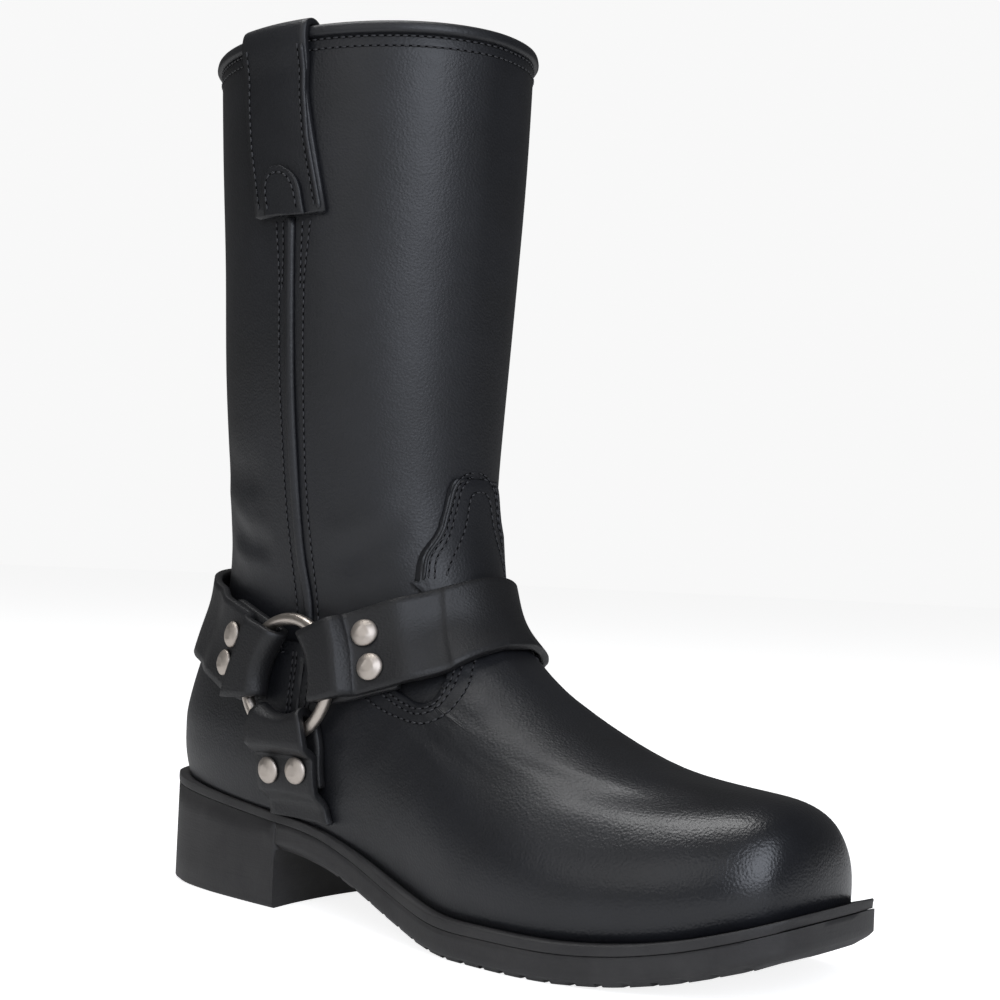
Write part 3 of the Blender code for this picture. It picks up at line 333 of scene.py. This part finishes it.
def line_leather(piece):
    """Give the faces that look into the hollow their lining."""
    piece.data.materials.append(LINING)
    for face in piece.data.polygons:
        nearest = None
        for start, end in zip(HOLLOW, HOLLOW[1:]):
            along = end - start
            share = max(0.0, min(1.0, (face.center - start).dot(along) / along.length_squared))
            way = face.center - (start + along * share)
            if nearest is None or way.length < nearest.length:
                nearest = way
        if face.normal.dot(nearest) < -FACES_HOLLOW * nearest.length:
            face.material_index = 1


upper = dress("upper", "upper_leather_body", HIDE)
vamp = dress("vamp", "vamp_leather", HIDE)
counter = dress("counter", "counter_leather", HIDE)
dress("collar_binding", "rolled_collar_edge", HIDE, corner=80)
line_leather(upper)
for end in ("front", "back"):
    dress("strap_" + end, "harness_strap_" + end, STRAPPING, firm=0.95)
pulls, tabs = {}, {}
for side, word in SIDES:
    dress("strap_under_" + word, "harness_strap_under_" + word, STRAPPING, firm=0.95)
    pulls[side] = dress("pull_strap_" + word, "pull_strap_leather_" + word, HIDE)
    tabs[side] = dress("pull_tab_" + word, "pull_tab_leather_" + word, HIDE)
    dress("side_piping_" + word, "corded_side_seam_" + word, HIDE, corner=75)
    dress("ring_" + word, "harness_ring_" + word, NICKEL, corner=170)
    for strap in ("front", "back", "under"):
        for count in ("1", "2"):
            tail = strap + "_" + word + "_" + count
            dress("rivet_" + tail, "rivet_cap_" + tail, CAPS, corner=80, firm=0.9, plump=0.1)
for block in ("outsole", "heel", "welt"):
    dress(block, "rubber_" + block, RUBBER, corner=32, firm=1.0)
dress("insole", "leather_insole", INSOLE, firm=0.9)


# Creases of wear, drawn in the side view: line of (x, z), half width, depth
SIDE_CREASES = [
    ([(170, 97), (163, 84), (152, 68), (147, 56)], 4.5, 0.32),
    ([(184, 90), (177, 76), (167, 62)], 5.0, 0.26),
    ([(140, 76), (130, 66), (122, 58)], 4.5, 0.22),
]
SHAFT_CREASES = [
    ([(48, 146), (62, 140), (78, 138)], 5.0, 0.9),
    ([(104, 133), (118, 138), (134, 147)], 6.0, 0.9),
    ([(40, 172), (58, 166), (76, 165)], 7.0, 0.7),
]


def surface_of(pieces):
    """One search tree over some pieces."""
    points, faces = [], []
    for piece in pieces:
        first = len(points)
        points += [vertex.co.copy() for vertex in piece.data.vertices]
        faces += [[first + index for index in face.vertices] for face in piece.data.polygons]
    return BVHTree.FromPolygons(points, faces)


# How far apart a drawn line is put on the leather: in millimetres, and in degrees round the leg
ROW_STEP = 1.0
TURN_STEP = 0.6
# A search starts clear of the boot: this far beside it, in millimetres
BESIDE_BOOT = 150
# or this far ahead of its middle or behind it
BOOT_MIDDLE, PAST_END = 150, 300
# or this far out from the leg's middle, in metres
OUTSIDE_LEG = 0.2
# A line round the leg is first cast at its height in the middle, and then at its height where it struck
CASTS = 2


def spaced(line):
    """Even steps along a drawn line."""
    line = np.array(line, float)
    run = np.concatenate([[0], np.cumsum(np.linalg.norm(np.diff(line, axis=0), axis=1))])
    count = max(2, int(round(run[-1] / ROW_STEP)) + 1)
    where = np.linspace(0, run[-1], count)
    return np.column_stack([np.interp(where, run, line[:, i]) for i in range(line.shape[1])])


def eased(line, rounds=2):
    """Cut the corners of a drawn line."""
    for _ in range(rounds):
        soft = [line[0]]
        for a, b in zip(line, line[1:]):
            for share in (0.25, 0.75):
                soft.append(tuple((1 - share) * p + share * q for p, q in zip(a, b)))
        line = soft + [line[-1]]
    return line


def on_side(tree, line, side):
    """Where a line drawn in the side view lies on the leather."""
    found = []
    for x, z in spaced(line):
        point, normal, _, _ = tree.ray_cast(spot(x, side * BESIDE_BOOT, z), Vector((0, -side, 0)))
        if point:
            found.append((point, normal))
    return found


def on_end(tree, line, way):
    """Where a line of (y, z), drawn from the front (1) or the back (-1), lies on the leather."""
    found = []
    for y, z in spaced(line):
        start = spot(BOOT_MIDDLE + way * PAST_END, y, z)
        point, normal, _, _ = tree.ray_cast(start, Vector((-way, 0, 0)))
        if point:
            found.append((point, normal))
    return found


def around(tree, height_at, middle_x, turns):
    """Where a line round the leg lies on the leather, between two turns in degrees from the toe."""
    found = []
    for turn in np.arange(turns[0], turns[1], TURN_STEP):
        way = Vector((math.cos(math.radians(turn)), math.sin(math.radians(turn)), 0))
        z = height_at(middle_x)
        for _ in range(CASTS):
            start = spot(middle_x, 0, z) + way * OUTSIDE_LEG
            point, normal, _, _ = tree.ray_cast(start, -way)
            if not point:
                break
            z = height_at(point.x * 1000 + HEEL_TO_MIDDLE)
        if point:
            found.append((point, normal))
    return found


# The most that a crease reaches to its side, in metres
CREASE_REACH = 0.02
# Its banks' height as a share of its depth, and their crest and width as shares of its width
BANK, BANK_AT, BANK_WIDE = 0.75, 1.6, 0.7
# The share of its run over which it fades in
FADE = 0.25


def crease(piece, line, width, depth):
    """Press a soft trough into the piece along a line of points, and raise its banks."""
    path = np.array([tuple(point) for point, _ in line])
    places = places_of(piece.data)
    low, high = path.min(0) - CREASE_REACH, path.max(0) + CREASE_REACH
    near = np.where((places > low).all(1) & (places < high).all(1))[0]
    normals = np.array([tuple(piece.data.vertices[i].normal) for i in near])
    away = np.linalg.norm(places[near][:, None] - path[None], axis=2)
    closest = away.argmin(1)
    reach = away.min(1) * 1000 / width
    # Fades towards both ends of the line
    along = closest / (len(path) - 1)
    fade = np.clip(np.minimum(along, 1 - along) / FADE, 0, 1)
    banks = BANK * depth * np.exp(-((reach - BANK_AT) / BANK_WIDE) ** 2)
    press = banks - depth * np.exp(-reach ** 2)
    places[near] += normals * (press * fade)[:, None] / 1000
    piece.data.vertices.foreach_set("co", places.ravel())
    piece.data.update()


for side in (OUTER, INNER):
    for line, width, depth in SIDE_CREASES:
        crease(vamp, on_side(surface_of([vamp]), line, side), width, depth)
    for line, width, depth in SHAFT_CREASES:
        crease(upper, on_side(surface_of([upper]), line, side), width, depth)


# Stitching: a stitch's length, the pitch and how far it stands proud, in millimetres
STITCH_LENGTH, STITCH_PITCH, STITCH_PROUD = 2.2, 3.0, 0.15
# Its thickness as a share of its length
STITCH_THICK = 0.4
# Painted shade under each row, a near-black cord: its radius and how deep its middle is sunk, in
# millimetres
SHADE_CORD_RADIUS, SHADE_CORD_SUNK = 0.42, 0.22
# A row with fewer points than this missed the leather
FEWEST_POINTS = 4
# A stitch shorter or longer than this, in metres, fell over an edge
SHORTEST, LONGEST = 0.0005, 0.005


def make_stitch():
    """One stitch, lying along X: a ball drawn out and flattened."""
    bpy.ops.mesh.primitive_uv_sphere_add(segments=6, ring_count=4, radius=0.5, rotation=(0, math.pi / 2, 0))
    stitch = bpy.context.object
    bpy.ops.object.transform_apply(location=True, rotation=True, scale=True)
    edit(stitch)
    bpy.ops.transform.resize(value=(1.0, STITCH_THICK, STITCH_THICK))
    leave(stitch)
    corners = np.array([tuple(vertex.co) for vertex in stitch.data.vertices])
    faces = [list(face.vertices) for face in stitch.data.polygons]
    bpy.data.objects.remove(stitch)
    return corners, faces


STITCH = make_stitch()

# A cord's ends are drawn in to this share of its radius, and it is shaded smooth under this angle
DRAWN_IN = 0.5
CORD_SMOOTH_UNDER = 60


def bead(name, row, radius, finish, roundness=3):
    """A rolled edge, or a near-black cord of painted shade along a seam: a round cord along a row, its ends
    drawn in.
    """
    curve = bpy.data.curves.new(name, "CURVE")
    curve.dimensions = "3D"
    curve.bevel_depth = radius / 1000
    curve.bevel_resolution = roundness
    curve.use_fill_caps = True
    thread = curve.splines.new("POLY")
    thread.points.add(len(row) - 1)
    for place, (point, _) in zip(thread.points, row):
        place.co = (*point, 1.0)
    for place in (thread.points[0], thread.points[-1]):
        place.radius = DRAWN_IN
    cord = bpy.data.objects.new(name, curve)
    bpy.context.scene.collection.objects.link(cord)
    bpy.ops.object.select_all(action="DESELECT")
    cord.select_set(True)
    bpy.context.view_layer.objects.active = cord
    bpy.ops.object.convert(target="MESH")
    cord.data.materials.clear()
    cord.data.materials.append(finish)
    bpy.ops.object.shade_smooth_by_angle(angle=math.radians(CORD_SMOOTH_UNDER))
    cord.select_set(False)
    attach(cord, "root")


def sew(name, rows):
    """A seam: one copy of the stitch after another along each row, and under each row a near-black cord of
    painted shade.
    """
    corners, faces = STITCH
    points, loops = [], []
    for row in rows:
        if len(row) < FEWEST_POINTS:
            continue
        path = np.array([tuple(point) for point, _ in row])
        normals = np.array([tuple(normal) for _, normal in row])
        run = np.concatenate([[0], np.cumsum(np.linalg.norm(np.diff(path, axis=0), axis=1))]) * 1000
        for middle in np.arange(STITCH_PITCH / 2, run[-1], STITCH_PITCH):
            ends = [np.array([np.interp(at, run, path[:, i]) for i in range(3)])
                    for at in (middle - STITCH_LENGTH / 2, middle + STITCH_LENGTH / 2)]
            out = np.array([np.interp(middle, run, normals[:, i]) for i in range(3)])
            along = ends[1] - ends[0]
            reach = np.linalg.norm(along)
            if reach < SHORTEST or reach > LONGEST:
                continue
            along /= reach
            out -= along * (out @ along)
            out /= np.linalg.norm(out)
            across = np.cross(out, along)
            centre = (ends[0] + ends[1]) / 2 + out * STITCH_PROUD / 1000
            first = len(points)
            shape = corners * (STITCH_LENGTH / 1000)
            points += list(centre + shape[:, :1] * along + shape[:, 1:2] * across + shape[:, 2:] * out)
            loops += [[first + index for index in face] for face in faces]
    mesh = bpy.data.meshes.new(name)
    mesh.from_pydata([tuple(point) for point in points], [], loops)
    mesh.materials.append(THREAD)
    mesh.shade_smooth()
    seam = bpy.data.objects.new(name, mesh)
    bpy.context.scene.collection.objects.link(seam)
    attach(seam, "root")
    for count, row in enumerate(rows):
        if len(row) >= FEWEST_POINTS:
            # A near-black cord along each row, sunk a little into the leather: painted shade where the
            # stitches pull in
            sunk = [(point - normal * SHADE_CORD_SUNK / 1000, normal) for point, normal in row]
            painted_shade = name + "_groove_%d" % (count + 1)
            bead(painted_shade, sunk, SHADE_CORD_RADIUS, PAINTED_SHADE_CORD, roundness=1)


def beside(line, gap):
    """A line drawn at a gap to the right of another, seen along its run."""
    line = np.array(line, float)
    step = np.gradient(line, axis=0)
    step /= np.linalg.norm(step, axis=1, keepdims=True)
    return [tuple(point) for point in line + gap * np.column_stack([step[:, 1], -step[:, 0]])]


# The pull strap's middle line up the shaft, as (z, x)
PULL_LINE = [(263.0, 89.9), (275.0, 87.2), (292.0, 83.2), (310.0, 81.1), (333.0, 80.2)]


def pull_x(z):
    """How far forward the pull strap's middle line is at this height."""
    return float(np.interp(z, [height for height, _ in PULL_LINE], [x for _, x in PULL_LINE]))


# The collar's height at its back, how far forward that is, and its rise for each millimetre further forward
COLLAR_BACK, COLLAR_BACK_X = 328.1, 11.8
COLLAR_RISE = 3.45 / 137.8
# The height of the counter's top edge at its back, and its rise
COUNTER_BACK, COUNTER_RISE = 99.0, 3.0 / 94.0


def collar_height(drop):
    """A line that runs level with the collar, this far below the roll."""
    return lambda x: COLLAR_BACK + COLLAR_RISE * (x - COLLAR_BACK_X) - drop


def counter_height(drop):
    """A line that runs level with the counter's top edge, this far below it."""
    return lambda x: COUNTER_BACK + COUNTER_RISE * x - drop


# The middle of the leg at the collar and at the counter
COLLAR_MIDDLE, COUNTER_MIDDLE = 80, 62
# The turns, in degrees from the toe, between which each is sewn
ALL_ROUND, ROUND_THE_HEEL = (0, 360), (62, 298)

shaft = surface_of([upper])
body = surface_of([upper, vamp, counter])

# The collar's two rows, this far below the roll
COLLAR_ROWS = (0.9, 4.6)
sew("collar_stitching",
    [around(shaft, collar_height(drop), COLLAR_MIDDLE, ALL_ROUND) for drop in COLLAR_ROWS])

# The vamp's tongue, drawn from the front as (y, z): its edge, and its innermost row
TONGUE_EDGE = eased([(0, 171.4), (4, 171.3), (7.4, 170.2), (10.9, 167.5), (13.6, 163.8), (15.4, 156.5),
                     (17.4, 149.4), (19.4, 144.9), (22.2, 140.5), (23.9, 136.5), (24.9, 129.0)], 1)
TONGUE_INNER = eased([(0, 162.3), (4.5, 161.6), (6.3, 158.0), (7.6, 150.6), (10.9, 143.4), (14.9, 136.5),
                      (17.5, 130.0)], 1)
# How far its two outer rows lie inside the edge, and where they stop short of the middle
TONGUE_ROWS = (2.0, 3.7)
TONGUE_MIDDLE = 0.2
tongue_rows = []
for flip in (-1, 1):
    for gap in TONGUE_ROWS:
        line = [(flip * y, z) for y, z in beside(TONGUE_EDGE, gap) if y >= TONGUE_MIDDLE]
        tongue_rows.append(on_end(body, line, 1))
    tongue_rows.append(on_end(body, [(flip * y, z) for y, z in TONGUE_INNER], 1))
sew("tongue_stitching", tongue_rows)

# The vamp's curved edge round the ankle, drawn from the side as (x, z), and the row that runs outside it
NOTCH_EDGE = eased([(97, 101.6), (112, 99.4), (127.9, 93.0), (138.9, 87.7), (144.6, 85.4), (150.9, 83.7),
                    (155.8, 85.0), (157.9, 90.2), (157.0, 97.0), (152.5, 108.0)], 2)
NOTCH_OUTER = eased([(124, 85.0), (136, 80.0), (143.9, 78.3), (150.9, 77.1), (154.9, 77.0), (159.2, 78.3),
                     (163.1, 80.9), (165.4, 85.2), (166.0, 90.0), (164.8, 95.0), (161.0, 104.0)], 2)
# How far the first and second row lie inside a panel's edge
INSIDE_EDGE = (2.0, 3.8)
# The rows either side of the piping, as (x, z): a long one, and a short one where it meets the pull strap
PIPING_ROWS = [
    [(82.4, 262.0), (84.6, 240.0), (84.6, 202.0), (84.9, 167.0), (86.4, 131.0), (87.6, 108.0)],
    [(86.0, 262.0), (86.4, 250.0), (86.0, 236.0)],
    [(98.8, 262.0), (96.4, 240.0), (96.0, 202.0), (95.6, 167.0), (97.0, 131.0), (98.4, 108.0)],
    [(95.4, 262.0), (94.9, 250.0), (94.8, 236.0)],
]
# The upright rows where vamp and counter meet: their places along the boot, and their ends
QUARTER_ROWS, QUARTER_TOP, QUARTER_FOOT = (89.6, 87.6, 97.2, 99.2), 99.0, 44.0
# The pull strap's rows behind and ahead of its middle line, from the shaft to the collar
PULL_ROWS, PULL_FOOT, PULL_TOP, PULL_POINTS = (-13.6, 13.4), 266, 328, 14
# Its front edge, turned over a cord
PULL_EDGE, EDGE_FOOT, EDGE_TOP, EDGE_POINTS, EDGE_RADIUS = 15.3, 265, 327, 40, 1.15
# The arch sewn on its foot: (x from the strap's middle line, z)
TAB_ARCH = [(-7.0, 265.0), (-7.0, 272.0), (-6.2, 275.6), (-4.2, 278.4), (0.0, 279.7), (4.2, 278.4),
            (6.2, 275.6), (7.0, 272.0), (7.0, 265.0)]


def beside_pull(offset, foot, top, points):
    """A line at an offset from the pull strap's middle line."""
    return [(pull_x(z) + offset, z) for z in np.linspace(foot, top, points)]


for side, word in SIDES:
    vamp_rows = [beside(NOTCH_EDGE, gap) for gap in INSIDE_EDGE] + [NOTCH_OUTER]
    sew("vamp_stitching_" + word, [on_side(body, line, side) for line in vamp_rows])
    sew("side_seam_stitching_" + word, [on_side(shaft, line, side) for line in PIPING_ROWS])
    quarter_rows = [[(x, QUARTER_TOP), (x, QUARTER_FOOT)] for x in QUARTER_ROWS]
    sew("quarter_stitching_" + word, [on_side(body, line, side) for line in quarter_rows])
    pull = surface_of([pulls[side]])
    pull_rows = [beside_pull(offset, PULL_FOOT, PULL_TOP, PULL_POINTS) for offset in PULL_ROWS]
    sew("pull_strap_stitching_" + word, [on_side(pull, line, side) for line in pull_rows])
    arch = [(pull_x(z) + x, z) for x, z in eased(TAB_ARCH, 1)]
    sew("pull_tab_stitching_" + word, [on_side(surface_of([tabs[side]]), arch, side)])
    edge = on_side(pull, beside_pull(PULL_EDGE, EDGE_FOOT, EDGE_TOP, EDGE_POINTS), side)
    bead("pull_strap_rolled_edge_" + word, edge, EDGE_RADIUS, HIDE)

# The tongue's raised lip runs just inside its edge
LIP_INSIDE, LIP_RADIUS = 0.7, 0.75
tongue = surface_of([vamp])
lips = []
for flip in (-1, 1):
    lip = [(flip * max(0.0, y - LIP_INSIDE), z - LIP_INSIDE) for y, z in TONGUE_EDGE]
    lips.append(on_end(tongue, lip, 1))
bead("tongue_raised_edge", lips[0][::-1] + lips[1][1:], LIP_RADIUS, HIDE)

# The counter's top edge, and the arch sewn on the back of the shaft, drawn from behind as (y, z)
sew("counter_stitching",
    [around(body, counter_height(drop), COUNTER_MIDDLE, ROUND_THE_HEEL) for drop in INSIDE_EDGE])
BACK_ARCH = eased([(0, 182), (7, 181.4), (13, 178), (16.5, 171), (18, 158), (19.5, 144), (21, 130)], 2)
sew("back_arch_stitching", [on_end(shaft, [(flip * y, z) for y, z in BACK_ARCH], -1) for flip in (-1, 1)])


# Floor, light and camera

def backdrop_finish():
    """Matt white studio paper, lit from below so that it stays white to its edge."""
    material, tree, shader, here = start_finish("matt_white_paper", 0.9)
    shader.inputs["Base Color"].default_value = tint("#E6E6E6")
    shader.inputs["Emission Color"].default_value = (1, 1, 1, 1)
    glow = add(tree, "ShaderNodeMapRange", {"To Min": 0.2, "To Max": 0.84},
               {"Value": add(tree, "ShaderNodeLightPath").outputs["Is Camera Ray"]})
    tree.links.new(glow.outputs["Result"], shader.inputs["Emission Strength"])
    tooth = add(tree, "ShaderNodeTexNoise", {"Scale": per_metre(2), "Detail": 2.0}, here)
    paper = add(tree, "ShaderNodeBump", {"Strength": 0.05, "Distance": 0.0002},
                {"Height": tooth.outputs["Fac"]})
    tree.links.new(paper.outputs["Normal"], shader.inputs["Normal"])
    return material


# The floor's radius and how far it lies under the sole, in metres
FLOOR_RADIUS, FLOOR_DROP = 6.0, 0.0002
bpy.ops.mesh.primitive_circle_add(vertices=96, radius=FLOOR_RADIUS, fill_type="NGON",
                                  location=(0, 0, -FLOOR_DROP))
floor = bpy.context.object
floor.name = "studio_floor"
floor.data.materials.append(backdrop_finish())
floor.select_set(False)

# What the camera and the lamps look at
TARGET = spot(154.65, 0, 159.47)


def towards(azimuth, elevation):
    """The way to an azimuth, in degrees round from the outer side, and an elevation."""
    a, e = math.radians(azimuth), math.radians(elevation)
    return Vector((math.sin(a) * math.cos(e), -math.cos(a) * math.cos(e), math.sin(e)))


def softbox(name, azimuth, elevation, distance, width, height, power, shade="#FFFFFF"):
    """A soft rectangular lamp that looks at the boot."""
    lamp = bpy.data.lights.new(name, "AREA")
    lamp.shape = "RECTANGLE"
    lamp.size = width
    lamp.size_y = height
    lamp.energy = power
    lamp.color = tint(shade)[:3]
    light = bpy.data.objects.new(name, lamp)
    bpy.context.scene.collection.objects.link(light)
    light.location = TARGET + towards(azimuth, elevation) * distance
    light.rotation_euler = towards(azimuth, elevation).to_track_quat("Z", "Y").to_euler()


# Azimuth and elevation in degrees; distance, width and height in metres; power in watts
softbox("key_softbox", 58, 26, 1.6, 0.9, 1.2, 17, "#EDF3FF")
softbox("fill_softbox", 0, 28, 1.7, 1.0, 1.2, 4.5)
softbox("overhead_softbox", -70, 76, 1.5, 0.5, 0.9, 12)

world = bpy.data.worlds.new("studio")
bpy.context.scene.world = world
world.use_nodes = True
sky = world.node_tree
sky.nodes["Background"].inputs["Color"].default_value = (1, 1, 1, 1)
seen = add(sky, "ShaderNodeLightPath")
level = add(sky, "ShaderNodeMapRange", {"To Min": 0.1, "To Max": 0.94},
            {"Value": seen.outputs["Is Camera Ray"]})
sky.links.new(level.outputs["Result"], sky.nodes["Background"].inputs["Strength"])

# The photograph's view: round from the outer side, a little below level and rolled, in degrees
AZIMUTH, ELEVATION, ROLL = 38.76, -1.39, 2.52
# The camera's distance in metres, its sensor in millimetres, and its focal length as a share of the sensor
DISTANCE, SENSOR, FOCAL_SHARE = 0.700, 36.0, 1.8557
back = towards(AZIMUTH, ELEVATION)
level_right = Vector((math.cos(math.radians(AZIMUTH)), math.sin(math.radians(AZIMUTH)), 0))
level_up = back.cross(level_right)
turn = math.radians(ROLL)
right = level_right * math.cos(turn) + level_up * math.sin(turn)
up = level_up * math.cos(turn) - level_right * math.sin(turn)
lens = bpy.data.cameras.new("photo_view")
lens.sensor_width = SENSOR
lens.lens = SENSOR * FOCAL_SHARE
lens.clip_start = 0.01
camera = bpy.data.objects.new("photo_view", lens)
bpy.context.scene.collection.objects.link(camera)
eye = TARGET + back * DISTANCE
camera.matrix_world = Matrix(((right.x, up.x, back.x, eye.x), (right.y, up.y, back.y, eye.y),
                              (right.z, up.z, back.z, eye.z), (0, 0, 0, 1)))
bpy.context.scene.camera = camera
bpy.context.scene.view_settings.view_transform = "Standard"
